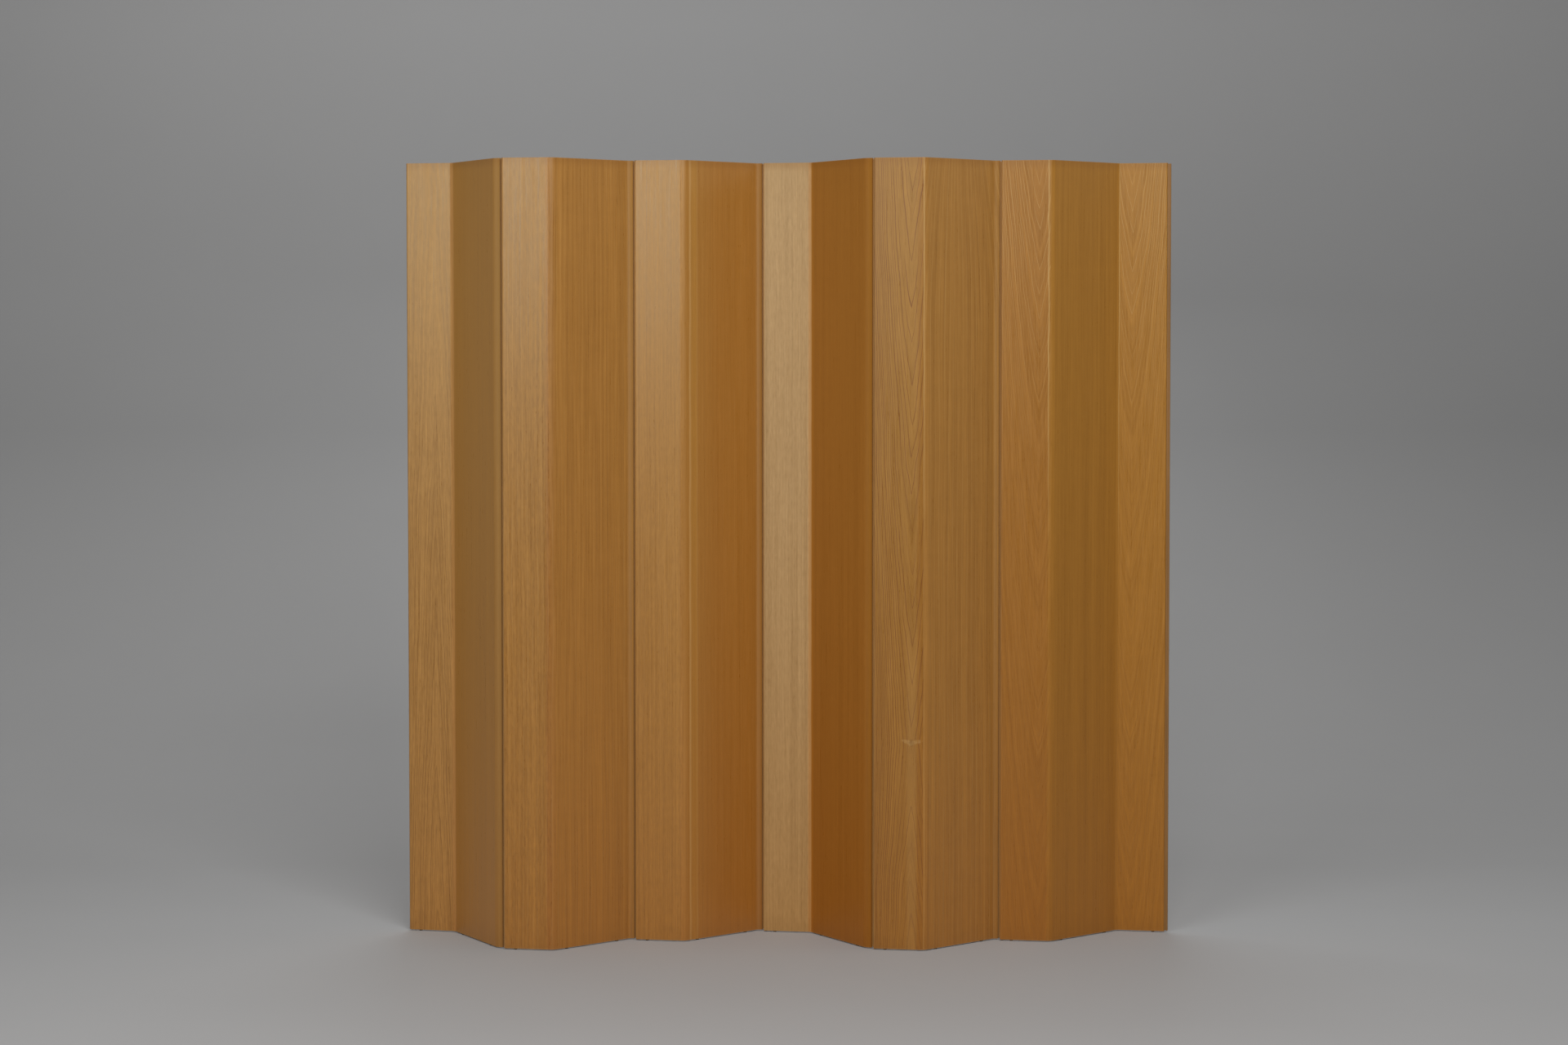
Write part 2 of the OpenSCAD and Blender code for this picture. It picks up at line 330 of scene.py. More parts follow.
count_rate = calc(tree, "MULTIPLY", given["Rings"], uneven_rates[0])
count_place = on_sheet(tree, given["Ring"], count_rate, given["Height"], uneven_rates[1], given["Sheet"])
uneven = calc(tree, "MULTIPLY", noise(tree, count_place, 1.0), uneven_depth)
count = calc(tree, "MULTIPLY_ADD", given["Ring"], given["Rings"], uneven)
nearest = calc(tree, "ROUND", count)
off_border = calc(tree, "ABSOLUTE", calc(tree, "SUBTRACT", count, nearest))
off_border = calc(tree, "DIVIDE", off_border, calc(tree, "MULTIPLY", given["Rings"], given["Steep"]))
vein = fading(tree, off_border, 0.0, vein_width, smooth=True)
vein_place = on_sheet(tree, nearest, vein_rates[0], given["Height"], vein_rates[1], given["Sheet"])
strength = between(tree, noise(tree, vein_place, 2.0), *vein_break)
feed(tree, result["Veins"], calc(tree, "MULTIPLY", vein, strength))
sliced_grain = tree

# A small live knot: a dark eye, pale wings of curled and streaked grain on both
# sides, and a wide pale stem above and below it. It is drawn in widths of the knot.
curl_rates = (2.2, 3.0)
eye_flatness = (14.0, 7.0)
eye_curl = 1.2
eye_edge = (0.1, 1.1)
wing_curl = 0.5
wing_lift = -0.25
wing_flatness = 22.0
wing_edge = (0.25, 1.0)
streak_rates = (13.0, 2.0)
streak_edge = (0.36, 0.60)
streak_depth = 0.75
stem_curl = 0.30
stem_edge = (0.22, 0.55)
stem_reach = (3.0, 12.0)
tree, given, result = new_group(
    "pin knot",
    numbers("Along", "Height", "Centre", "Level", "Width"),
    ("Eye", "Wings", "Stem"),
)
out = calc(tree, "DIVIDE", calc(tree, "SUBTRACT", given["Along"], given["Centre"]), given["Width"])
up = calc(tree, "DIVIDE", calc(tree, "SUBTRACT", given["Height"], given["Level"]), given["Width"])
curl = swing(tree, on_sheet(tree, out, curl_rates[0], up, curl_rates[1], 0.0), 3.0)
out_square = calc(tree, "MULTIPLY", out, out)
up_square = calc(tree, "MULTIPLY", up, up)
eye_size = calc(tree, "MULTIPLY", up_square, eye_flatness[1])
eye_size = calc(tree, "MULTIPLY_ADD", out_square, eye_flatness[0], eye_size)
eye_size = calc(tree, "MULTIPLY_ADD", curl, eye_curl, eye_size)
feed(tree, result["Eye"], fading(tree, eye_size, *eye_edge, smooth=True))
wing_rise = calc(tree, "MULTIPLY_ADD", curl, wing_curl, up)
wing_rise = calc(tree, "MULTIPLY_ADD", calc(tree, "ABSOLUTE", out), wing_lift, wing_rise)
wing_square = calc(tree, "MULTIPLY", wing_rise, wing_rise)
wing_size = calc(tree, "MULTIPLY_ADD", wing_square, wing_flatness, out_square)
wings = fading(tree, wing_size, *wing_edge, smooth=True)
streak_place = on_sheet(tree, out, streak_rates[0], up, streak_rates[1], 0.0)
streaks = between(tree, noise(tree, streak_place, 1.0), *streak_edge)
streaks = calc(tree, "MULTIPLY_ADD", streaks, streak_depth, 1 - streak_depth)
feed(tree, result["Wings"], calc(tree, "MULTIPLY", wings, streaks))
stem_off = calc(tree, "ABSOLUTE", calc(tree, "MULTIPLY_ADD", curl, stem_curl, out))
stem = fading(tree, stem_off, *stem_edge, smooth=True)
stem = calc(tree, "MULTIPLY", stem, fading(tree, up, *stem_reach))
feed(tree, result["Stem"], stem)
pin_knot = tree

# The glued plies that show on a sanded edge or a cut end, light and dark in turn.
ply_count = 7
end_tilt = (0.5, 0.8)
bare_edge = (0.0008, 0.0014)
face_veneer = (0.0030, 0.0034)
ply_border = (0.35, 0.65)
glue_line = (0.44, 0.5)
tree, given, result = new_group(
    "ply edge",
    numbers("Along", "Through", "Length"),
    ("Edge", "Layer", "Glue"),
)
normal = put(tree, "ShaderNodeNewGeometry", {}).outputs["Normal"]
upward = calc(tree, "ABSOLUTE", put(tree, "ShaderNodeSeparateXYZ", {0: normal}).outputs[2])
cut_end = between(tree, upward, *end_tilt)
from_right = calc(tree, "SUBTRACT", given["Length"], given["Along"])
from_edge = calc(tree, "MINIMUM", given["Along"], from_right)
depth = calc(tree, "ABSOLUTE", given["Through"])
bare = calc(tree, "MULTIPLY", fading(tree, from_edge, *bare_edge), fading(tree, depth, *face_veneer))
feed(tree, result["Edge"], calc(tree, "MAXIMUM", cut_end, bare))
from_back = calc(tree, "ADD", given["Through"], ply_thickness / 2)
ply = calc(tree, "MULTIPLY", from_back, ply_count / ply_thickness)
in_turn = calc(tree, "PINGPONG", ply, 1.0)
feed(tree, result["Layer"], between(tree, in_turn, *ply_border, smooth=True))
off_middle = calc(tree, "ABSOLUTE", calc(tree, "SUBTRACT", calc(tree, "FRACT", ply), 0.5))
feed(tree, result["Glue"], between(tree, off_middle, *glue_line))
ply_edge = tree

# Handling: the top and bottom edges rubbed pale, the left hinge edge pale as painted highlight
# on its rounded arris together with rub, the colour darker just under the top edge, and the
# foot of each leaf dulled by dust and mopping.
patch_rates = (60.0, 14.0)
patch_edge = (0.35, 0.65)
side_rub_and_highlight = (0.0026, 0.0044)
end_rub = (0.0006, 0.0022)
rub_patches = 0.6
head_band = (0.002, 0.022)
foot_height = 0.05
foot_patches = 0.5
tree, given, result = new_group("handling", numbers("Along", "Height", "Sheet"), ("Rub and highlight", "Head", "Foot"))
from_top = calc(tree, "SUBTRACT", leaf_top, given["Height"])
from_floor = calc(tree, "SUBTRACT", given["Height"], leaf_bottom)
from_end = calc(tree, "MINIMUM", from_top, from_floor)
patch_place = on_sheet(tree, given["Along"], patch_rates[0], given["Height"], patch_rates[1],
                       given["Sheet"])
patchy = between(tree, noise(tree, patch_place, 4.0, 0.6), *patch_edge)
# Painted highlight: the pale band along the left hinge edge stands for light on its rounded arris, together
# with rub.
left_rub_and_highlight = fading(tree, given["Along"], *side_rub_and_highlight, smooth=True)
rub_and_highlight = calc(tree, "MAXIMUM", left_rub_and_highlight, fading(tree, from_end, *end_rub, smooth=True))
rub_patchy = calc(tree, "MULTIPLY_ADD", patchy, rub_patches, 1 - rub_patches)
feed(tree, result["Rub and highlight"], calc(tree, "MULTIPLY", rub_and_highlight, rub_patchy))
feed(tree, result["Head"], fading(tree, from_top, *head_band, smooth=True))
foot = fading(tree, from_floor, 0.0, foot_height, smooth=True)
foot_patchy = calc(tree, "MULTIPLY_ADD", patchy, foot_patches, 1 - foot_patches)
feed(tree, result["Foot"], calc(tree, "MULTIPLY", foot, foot_patchy))
handling = tree

straw = linear(171, 123, 60)
# Painted light and shade at the bends: the straw, oat and russet bend tints lighten bends that render dark,
# and the rose and honey bend tints darken them.
straw_bend_painted_light = linear(184, 131, 68)
rose = linear(163, 111, 42)
rose_bend_painted_shade = linear(160, 104, 36)
wheat = linear(167, 114, 42)
# Leaf 4's flange: its own paler veneer, with painted sheen in the tint in place of a strong lacquer sheen.
oat_with_painted_sheen = linear(178, 142, 95)
oat_bend_painted_light = linear(186, 138, 84)
honey = linear(160, 109, 38)
honey_bend_painted_shade = linear(157, 103, 29)
amber = linear(158, 101, 24)
apricot = linear(165, 109, 28)
golden = linear(169, 114, 45)
brass_yellow = linear(171, 115, 43)
ochre = linear(177, 122, 48)
ochre_line = linear(188, 136, 70)
sienna_gold = linear(172, 116, 46)
sienna = linear(168, 110, 40)
olive = linear(168, 115, 48)
bronze = linear(165, 110, 34)
umber = linear(173, 122, 56)
russet = linear(159, 103, 38)
russet_bend_painted_light = linear(168, 109, 38)
cream = linear(196, 154, 92)
# Painted shade: the lip tints are darker copies of the web colours, so the lips, which face like the
# flanges, show as dark as the webs.
umber_lip_painted_shade = linear(148, 105, 47)
golden_lip_painted_shade = linear(155, 106, 40)
sienna_lip_painted_shade = linear(149, 95, 18)
russet_lip_painted_shade = linear(145, 93, 27)
late_wood = linear(112, 68, 22)
red_brown = linear(122, 66, 18)
pore_brown = linear(96, 58, 20)
ply_light = linear(180, 138, 86)
ply_dark = linear(134, 92, 48)
glue_brown = linear(92, 62, 34)
rub_and_highlight_pale = linear(196, 154, 100)
under_top_dark = linear(136, 84, 26)
foot_dust = linear(98, 58, 22)

# The sheet of each leaf. Tints are colours at places along it; the bend tints carry painted
# light and shade, and the lip tints painted shade. Lines are pale streaks at a place, which
# come in between two heights to a given depth. A stretch is a pointed cut if it has a slope,
# with a fade of heights between which its veins come in, and otherwise a straight one with a fan and a
# waver.
web_mark = 0.1075
tail_mark = web_end + 0.0085
tail_centre = tail_start + 0.0235
stretch_starts = {"web": web_mark, "tail": tail_mark}
sheets = {
    1: {
        "tints": [(0.0, straw), (0.1030, straw), (0.1042, straw_bend_painted_light), (0.1145, straw_bend_painted_light),
                  (0.1165, umber), (web_end, umber), (tail_start, umber_lip_painted_shade)],
        "flange": dict(centre=0.066, slope=-16.0, curve=12.0, turn=0.0, rings=100.0, contrast=1.2,
                       speckle=0.36, vein=late_wood, veins=0.50, fade=(1.30, 0.80)),
        "web": dict(centre=0.2, fan=0.0, waver=0.004, rings=120.0, contrast=0.5, speckle=0.06,
                    vein=cream, veins=0.04),
    },
    2: {
        "tints": [(0.0, rose), (0.0960, rose), (0.0972, rose_bend_painted_shade), (0.1050, rose_bend_painted_shade),
                  (0.1174, golden), (web_end, golden), (tail_start, golden_lip_painted_shade)],
        "flange": dict(centre=0.04, fan=0.0, waver=0.014, rings=95.0, contrast=1.05, speckle=0.44,
                       vein=cream, veins=0.24),
        "web": dict(centre=0.2, fan=0.4, waver=0.012, rings=105.0, contrast=1.0, speckle=0.08,
                    vein=cream, veins=0.16),
    },
    3: {
        "tints": [(0.0, wheat), (0.1010, wheat), (0.1022, brass_yellow), (0.1190, brass_yellow),
                  (0.1215, ochre_line), (0.1250, ochre_line), (0.1270, ochre), (0.1410, ochre),
                  (0.1422, sienna_gold), (0.2000, sienna), (web_end, sienna), (tail_start, sienna_lip_painted_shade)],
        "lines": [(0.1232, -1.0, 0.0, 0.30), (0.1420, -1.0, 0.0, 0.30)],
        "flange": dict(centre=0.05, fan=0.5, waver=0.010, rings=110.0, contrast=0.9, speckle=0.32,
                       vein=late_wood, veins=0.20),
        "web": dict(centre=0.2, fan=0.0, waver=0.004, rings=60.0, contrast=0.55, speckle=0.07,
                    vein=cream, veins=0.08),
    },
    4: {
        "tints": [(0.0, oat_with_painted_sheen), (0.1010, oat_with_painted_sheen), (0.1040, oat_bend_painted_light), (0.1112, oat_bend_painted_light),
                  (0.1130, russet_bend_painted_light), (0.1250, russet), (web_end, russet), (tail_start, russet_lip_painted_shade)],
        "flange": dict(centre=0.05, fan=0.0, waver=0.010, rings=140.0, contrast=0.8, speckle=0.30,
                       vein=cream, veins=0.16),
        "web": dict(centre=0.2, fan=0.0, waver=0.004, rings=110.0, contrast=0.5, speckle=0.10,
                    vein=late_wood, veins=0.05),
    },
    5: {
        "tints": [(0.0, honey), (0.0950, honey), (0.0960, honey_bend_painted_shade), (0.1075, honey_bend_painted_shade),
                  (0.1092, olive), (web_end, olive), (tail_start, golden_lip_painted_shade)],
        "lines": [(0.1081, 0.85, 1.45, 0.90)],
        "flange": dict(centre=0.0835, slope=5.0, curve=27.0, turn=0.452, rings=60.0, contrast=0.9,
                       speckle=0.20, vein=red_brown, veins=0.95, fade=(-0.3, 0.1)),
        "web": dict(centre=0.195, fan=4.0, waver=0.012, rings=75.0, contrast=1.0, speckle=0.10,
                    vein=cream, veins=0.30),
    },
    6: {
        "tints": [(0.0, amber), (0.1035, amber), (0.1050, bronze), (web_end, bronze),
                  (tail_mark, bronze), (tail_mark + 0.0015, apricot)],
        "lines": [(0.1041, 0.85, 1.30, 0.90), (tail_mark + 0.0007, 0.85, 1.30, 0.90)],
        "flange": dict(centre=0.0841, slope=3.4, curve=20.0, turn=0.0, rings=70.0, contrast=0.9,
                       speckle=0.14, vein=cream, veins=0.50, fade=(1.10, 1.55)),
        "web": dict(centre=0.2, fan=0.3, waver=0.006, rings=120.0, contrast=0.7, speckle=0.06,
                    vein=late_wood, veins=0.06),
        "tail": dict(centre=tail_centre, slope=3.4, curve=20.0, turn=0.0, rings=70.0, contrast=0.9,
                     speckle=0.14, vein=cream, veins=0.50, fade=(1.10, 1.55)),
    },
}
faint_veins = 0.15


def stretch_rings(tree, cut, along, height, sheet):
    """The rings that one stretch of a sheet cuts through, and how strongly they show."""
    feeds = {"Along": along, "Height": height, "Sheet": sheet, "Centre": cut["centre"]}
    strength = cut["veins"]
    if "slope" in cut:
        feeds = {**feeds, "Slope": cut["slope"], "Curve": cut["curve"], "Turn": cut["turn"]}
        rings = use_group(tree, pointed_rings, feeds)
        shown = between(tree, height, *cut["fade"])
        shown = calc(tree, "MULTIPLY_ADD", shown, 1 - faint_veins, faint_veins)
        strength = calc(tree, "MULTIPLY", shown, strength)
    else:
        feeds = {**feeds, "Fan": cut["fan"], "Waver": cut["waver"]}
        rings = use_group(tree, straight_rings, feeds)
    return {"Ring": rings["Ring"], "Steep": rings["Steep"], "Rings": cut["rings"],
            "Contrast": cut["contrast"], "Speckle": cut["speckle"], "strength": strength}


# The one knot, on leaf 5: how far along the sheet, how high and how wide.
knots = {5: (0.0835, 0.456, 0.026)}
stem_amount = 0.12
wing_amount = 0.55
eye_amount = 0.35

# Every leaf and both of its faces read other parts of the noise.
leaf_gap = 17.3
back_gap = 31.0
tint_wave_rate = 11.0
tint_wave_width = 0.004

# The grain deepens blue more than red. The colour is also painted greener and bluer
# towards the top and warmer towards the foot: painted sheen and light that change with height.
shade_depths = (0.85, 1.0, 1.25)
painted_green_top = 1.035
painted_green_fall = -0.155
painted_blue_top = 1.10
painted_blue_fall = -0.40
pore_openness = 0.25
line_edge = (0.0004, 0.0012)
glue_amount = 0.6
rub_and_highlight_amount = 0.20
head_amount = 0.30
foot_amount = 0.13

# Satin lacquer, which shines more on some leaves than on others, and is duller where
# it is rubbed or cut and on the lips.
sheen = {1: 0.72, 2: 0.76, 3: 0.85, 4: 0.25, 5: 0.68, 6: 0.62}
lacquer_tint = (0.96, 1.0, 0.82, 1.0)
lacquer_roughness = 0.37
grain_roughness = 0.30
rubbed_roughness = 0.10
cut_roughness = 0.20
lip_roughness = 0.5
pore_depth = -0.15
relief_strength = 0.2
relief_depth = 0.0003


def veneer(number):
    """The lacquered veneer of one leaf, laid along its section."""
    look = sheets[number]
    material, tree, shader = new_finish("veneer_%d" % number)
    seen_at = put(tree, "ShaderNodeTexCoord", {}).outputs["Object"]
    own = put(tree, "ShaderNodeMapping", {
        "Vector": seen_at,
        "Location": (*leaf_start[number], 0.0),
        "Rotation": (0.0, 0.0, leaf_turn[number]),
    }, vector_type="TEXTURE").outputs[0]
    laid = use_group(tree, unrolled_section, {"Place": own, "Side": float(side[number])})
    along, through, height = laid["Along"], laid["Through"], laid["Height"]
    length = run_length[number]
    back = calc(tree, "LESS_THAN", through, 0.0)
    sheet = calc(tree, "MULTIPLY_ADD", back, back_gap, number * leaf_gap)

    wave_place = joined(tree, sheet, 0.0, calc(tree, "MULTIPLY", height, tint_wave_rate))
    wavy = calc(tree, "MULTIPLY_ADD", swing(tree, wave_place, 2.0), tint_wave_width, along)
    ramp = tree.nodes.new("ShaderNodeValToRGB")
    feed(tree, ramp.inputs[0], calc(tree, "DIVIDE", wavy, length))
    while len(ramp.color_ramp.elements) < len(look["tints"]):
        ramp.color_ramp.elements.new(1.0)
    for stop, (place, colour) in zip(ramp.color_ramp.elements, look["tints"]):
        stop.position = place / length
        stop.color = colour
    wood = ramp.outputs[0]

    drawn = stretch_rings(tree, look["flange"], along, height, sheet)
    vein_colour = look["flange"]["vein"]
    for stretch, start in stretch_starts.items():
        if stretch in look:
            reached = calc(tree, "GREATER_THAN", along, start)
            second = stretch_rings(tree, look[stretch], along, height, sheet)
            drawn = {key: pick(tree, reached, drawn[key], second[key]) for key in drawn}
            vein_colour = tinted(tree, reached, vein_colour, look[stretch]["vein"])
    strength = drawn.pop("strength")
    grain = use_group(tree, sliced_grain, {**drawn, "Along": along, "Height": height, "Sheet": sheet})
    # Painted sheen and light: greener and bluer towards the top, warmer towards the foot.
    low = calc(tree, "POWER", between(tree, height, leaf_top, leaf_bottom), 2.0)
    painted_green_share = calc(tree, "MULTIPLY_ADD", low, painted_green_fall, painted_green_top)
    painted_blue_share = calc(tree, "MULTIPLY_ADD", low, painted_blue_fall, painted_blue_top)
    shades = [calc(tree, "MULTIPLY_ADD", grain["Shade"], depth, 1.0) for depth in shade_depths]
    shades[1] = calc(tree, "MULTIPLY", shades[1], painted_green_share)
    shades[2] = calc(tree, "MULTIPLY", shades[2], painted_blue_share)
    wood = tinted(tree, 1.0, wood, joined(tree, *shades), "MULTIPLY")
    wood = tinted(tree, calc(tree, "MULTIPLY", grain["Veins"], strength), wood, vein_colour)
    openness = calc(tree, "MULTIPLY", drawn["Speckle"], pore_openness)
    wood = tinted(tree, calc(tree, "MULTIPLY", grain["Pores"], openness), wood, pore_brown)
    for place, from_height, to_height, depth in look.get("lines", []):
        off_line = calc(tree, "ABSOLUTE", calc(tree, "SUBTRACT", wavy, place))
        line = fading(tree, off_line, *line_edge, smooth=True)
        line = calc(tree, "MULTIPLY", line, between(tree, height, from_height, to_height))
        wood = tinted(tree, calc(tree, "MULTIPLY", line, depth), wood, cream)
    if number in knots:
        centre, level, width = knots[number]
        knot = use_group(tree, pin_knot, {"Along": along, "Height": height, "Centre": centre,
                                          "Level": level, "Width": width})
        wood = tinted(tree, calc(tree, "MULTIPLY", knot["Stem"], stem_amount), wood, cream)
        wood = tinted(tree, calc(tree, "MULTIPLY", knot["Wings"], wing_amount), wood, cream)
        wood = tinted(tree, calc(tree, "MULTIPLY", knot["Eye"], eye_amount), wood, late_wood)

    cut = use_group(tree, ply_edge, {"Along": along, "Through": through, "Length": length})
    plies = tinted(tree, cut["Layer"], ply_dark, ply_light)
    plies = tinted(tree, calc(tree, "MULTIPLY", cut["Glue"], glue_amount), plies, glue_brown)
    wood = tinted(tree, cut["Edge"], wood, plies)
    worn = use_group(tree, handling, {"Along": along, "Height": height, "Sheet": sheet})
    wood = tinted(tree, calc(tree, "MULTIPLY", worn["Rub and highlight"], rub_and_highlight_amount), wood, rub_and_highlight_pale)
    # A darker band just under the top edge.
    wood = tinted(tree, calc(tree, "MULTIPLY", worn["Head"], head_amount), wood, under_top_dark)
    wood = tinted(tree, calc(tree, "MULTIPLY", worn["Foot"], foot_amount), wood, foot_dust)
    feed(tree, shader.inputs["Base Color"], wood)

    relief = calc(tree, "MULTIPLY_ADD", grain["Pores"], pore_depth, grain["Relief"])
    roughness = calc(tree, "MULTIPLY_ADD", relief, grain_roughness, lacquer_roughness)
    roughness = calc(tree, "MULTIPLY_ADD", worn["Rub and highlight"], rubbed_roughness, roughness)
    roughness = calc(tree, "MULTIPLY_ADD", cut["Edge"], cut_roughness, roughness)
    if number < leaf_count:
        dull_lip = between(tree, along, web_end, tail_start)
        roughness = calc(tree, "MULTIPLY_ADD", dull_lip, lip_roughness, roughness)
    feed(tree, shader.inputs["Roughness"], roughness)
    shader.inputs["Specular IOR Level"].default_value = sheen[number]
    shader.inputs["Specular Tint"].default_value = lacquer_tint
    emboss(tree, shader, relief, relief_strength, relief_depth)
    return material


for number in side:
    nodes["panel_%d" % number].material_slots[0].material = veneer(number)


# Hinge strips: a round bead on each leaf turns in an open socket on the next. Both
# are drawn in one length from wood-brown, slightly waxy plastic, the bead glued in
# a kerf and the socket screwed on. The beads in the seams are painted lighter than
# the free strip of the last leaf, as painted light against the shade in the seams.
seam_bead_painted_light = linear(178, 126, 62)
free_bead_tan = linear(146, 106, 60)
socket_tan = linear(132, 90, 42)
strip_scuff = linear(160, 122, 76)
cloud_scale = (30.0, 30.0, 5.0)
cloud_range = (0.25, 0.75)
cloud_depth = 0.12
die_line_scale = (900.0, 900.0, 2.0)
scuff_scale = (300.0, 300.0, 60.0)
scuff_edge = (0.62, 0.72)
scuff_amount = 0.35
plastic_roughness = 0.42
scuff_roughness = 0.2
plastic_sheen = 0.3
scuff_height = -0.5
die_line_height = 0.4
strip_relief = 0.2
fine_relief_depth = 0.0002


def own_noise(tree, scale, detail, roughness=0.5, seed=0.0):
    """Noise that is fixed to the piece, with its own scale along each axis."""
    seen_at = put(tree, "ShaderNodeTexCoord", {}).outputs["Object"]
    feeds = {"Vector": seen_at, "Location": (seed, 0.0, 0.0), "Scale": scale}
    return noise(tree, put(tree, "ShaderNodeMapping", feeds).outputs[0], detail, roughness)


def clouded(tree, value, low, high, depth):
    """A grey near 1 that swings by the depth as the value goes from low to high."""
    feeds = {"Value": value, "From Min": low, "From Max": high, "To Min": 1 - depth, "To Max": 1 + depth}
    shade = put(tree, "ShaderNodeMapRange", feeds).outputs[0]
    return joined(tree, shade, shade, shade)


def strip_plastic(title, colour, seed):
    """Drawn plastic with faint die lines, cloudy colour and small scuffs."""
    material, tree, shader = new_finish(title)
    cloudy = own_noise(tree, cloud_scale, 3.0, seed=seed)
    die_lines = own_noise(tree, die_line_scale, 1.0, seed=seed)
    scuffs = between(tree, own_noise(tree, scuff_scale, 4.0, 0.65), *scuff_edge)
    body = tinted(tree, 1.0, colour, clouded(tree, cloudy, *cloud_range, cloud_depth), "MULTIPLY")
    body = tinted(tree, calc(tree, "MULTIPLY", scuffs, scuff_amount), body, strip_scuff)
    feed(tree, shader.inputs["Base Color"], body)
    roughness = calc(tree, "MULTIPLY_ADD", scuffs, scuff_roughness, plastic_roughness)
    feed(tree, shader.inputs["Roughness"], roughness)
    shader.inputs["Specular IOR Level"].default_value = plastic_sheen
    relief = calc(tree, "MULTIPLY", die_lines, die_line_height)
    relief = calc(tree, "MULTIPLY_ADD", scuffs, scuff_height, relief)
    emboss(tree, shader, relief, strip_relief, fine_relief_depth)
    return material


# Painted light: the beads in the seams are a lighter brown than the free one, against the shade in the
# seams.
bead_plastic_painted_light = strip_plastic("bead_plastic_painted_light", seam_bead_painted_light, 0.0)
free_bead_plastic = strip_plastic("free_bead_plastic", free_bead_tan, 4.0)
socket_plastic = strip_plastic("socket_plastic", socket_tan, 9.0)
for number in side:
    seen_plastic = free_bead_plastic if number == leaf_count else bead_plastic_painted_light
    nodes["bead_strip_%d" % number].material_slots[0].material = seen_plastic
for number in range(1, leaf_count):
    nodes["socket_strip_%d" % number].material_slots[0].material = socket_plastic


# Countersunk brass screws that hold each socket strip to the back of its leaf:
# turned, a little tarnished, and rougher where the tarnish lies.
screw_brass = linear(196, 160, 92)
brass_tarnish = linear(120, 88, 48)
turning_scale = (1500.0, 400.0, 1500.0)
tarnish_scale = (420.0, 420.0, 420.0)
tarnish_edge = (0.45, 0.65)
tarnish_amount = 0.7
brass_roughness = 0.2
turning_roughness = 0.15
tarnish_roughness = 0.25
turning_relief = 0.2

brass, tree, shader = new_finish("screw_brass")
turning = own_noise(tree, turning_scale, 2.0)
tarnish = between(tree, own_noise(tree, tarnish_scale, 4.0), *tarnish_edge)
tarnished = calc(tree, "MULTIPLY", tarnish, tarnish_amount)
feed(tree, shader.inputs["Base Color"], tinted(tree, tarnished, screw_brass, brass_tarnish))
roughness = calc(tree, "MULTIPLY_ADD", turning, turning_roughness, brass_roughness)
roughness = calc(tree, "MULTIPLY_ADD", tarnish, tarnish_roughness, roughness)
feed(tree, shader.inputs["Roughness"], roughness)
shader.inputs["Metallic"].default_value = 1.0
emboss(tree, shader, turning, turning_relief, fine_relief_depth)
for number in range(1, leaf_count):
    nodes["socket_screws_%d" % number].material_slots[0].material = brass


# Nail-on glides under every leaf: small domed feet of dark nylon that keep the
# plies off the floor, scratched where they slide.
glide_nylon = linear(58, 46, 36)
glide_scratch = linear(120, 104, 86)
nylon_mottle_scale = (350.0, 350.0, 350.0)
sliding_height = 0.0012
scratch_edge = (0.45, 0.6)
scratch_amount = 0.8
nylon_roughness = 0.35
mottle_roughness = 0.3
nylon_relief = 0.25

nylon, tree, shader = new_finish("glide_nylon")
mottle = own_noise(tree, nylon_mottle_scale, 3.0)
seen_at = put(tree, "ShaderNodeTexCoord", {}).outputs["Object"]
height = put(tree, "ShaderNodeSeparateXYZ", {0: seen_at}).outputs[2]
sliding = fading(tree, height, 0.0, sliding_height)
scratches = calc(tree, "MULTIPLY", sliding, between(tree, mottle, *scratch_edge))
scratched = calc(tree, "MULTIPLY", scratches, scratch_amount)
feed(tree, shader.inputs["Base Color"], tinted(tree, scratched, glide_nylon, glide_scratch))
roughness = calc(tree, "MULTIPLY_ADD", mottle, mottle_roughness, nylon_roughness)
feed(tree, shader.inputs["Roughness"], roughness)
emboss(tree, shader, mottle, nylon_relief, fine_relief_depth)
for number in side:
    nodes["glides_%d" % number].material_slots[0].material = nylon


# Studio: one pale seamless sheet, floor and backdrop in one, swept up behind the
# screen with a wide cove. Its grey drifts a little from floor to top: painted light
# and shade. It fades into the room far from the screen, and is open when seen from behind.
sheet_half_width = 16.0
sheet_front = -16.0
sheet_back = 4.6
sheet_top = 6.0
cove_radius = 3.2
cove_steps = 24
close_by = 0.01

bpy.ops.object.select_all(action="DESELECT")
bpy.ops.mesh.primitive_plane_add(size=2.0, location=(0.0, 0.0, 0.0))
cove = bpy.context.object
cove.name = "studio_cove"
bpy.ops.object.mode_set(mode="EDIT")
bpy.ops.mesh.select_all(action="SELECT")
bpy.ops.transform.resize(value=(sheet_half_width, (sheet_back - sheet_front) / 2, 1.0))
bpy.ops.transform.translate(value=(0.0, (sheet_back + sheet_front) / 2, 0.0))
bpy.ops.mesh.select_all(action="DESELECT")
bpy.ops.object.mode_set(mode="OBJECT")
for edge in cove.data.edges:
    ends = [cove.data.vertices[v].co.y for v in edge.vertices]
    edge.select = min(ends) > sheet_back - close_by
for vertex in cove.data.vertices:
    vertex.select = vertex.co.y > sheet_back - close_by
bpy.ops.object.mode_set(mode="EDIT")
bpy.ops.mesh.select_mode(type="EDGE")
bpy.ops.mesh.extrude_region_move(TRANSFORM_OT_translate={"value": (0.0, 0.0, sheet_top)})
bpy.ops.mesh.select_all(action="DESELECT")
bpy.ops.object.mode_set(mode="OBJECT")
for edge in cove.data.edges:
    ends = [cove.data.vertices[v].co for v in edge.vertices]
    edge.select = all(end.y > sheet_back - close_by and end.z < close_by for end in ends)
bpy.ops.object.mode_set(mode="EDIT")
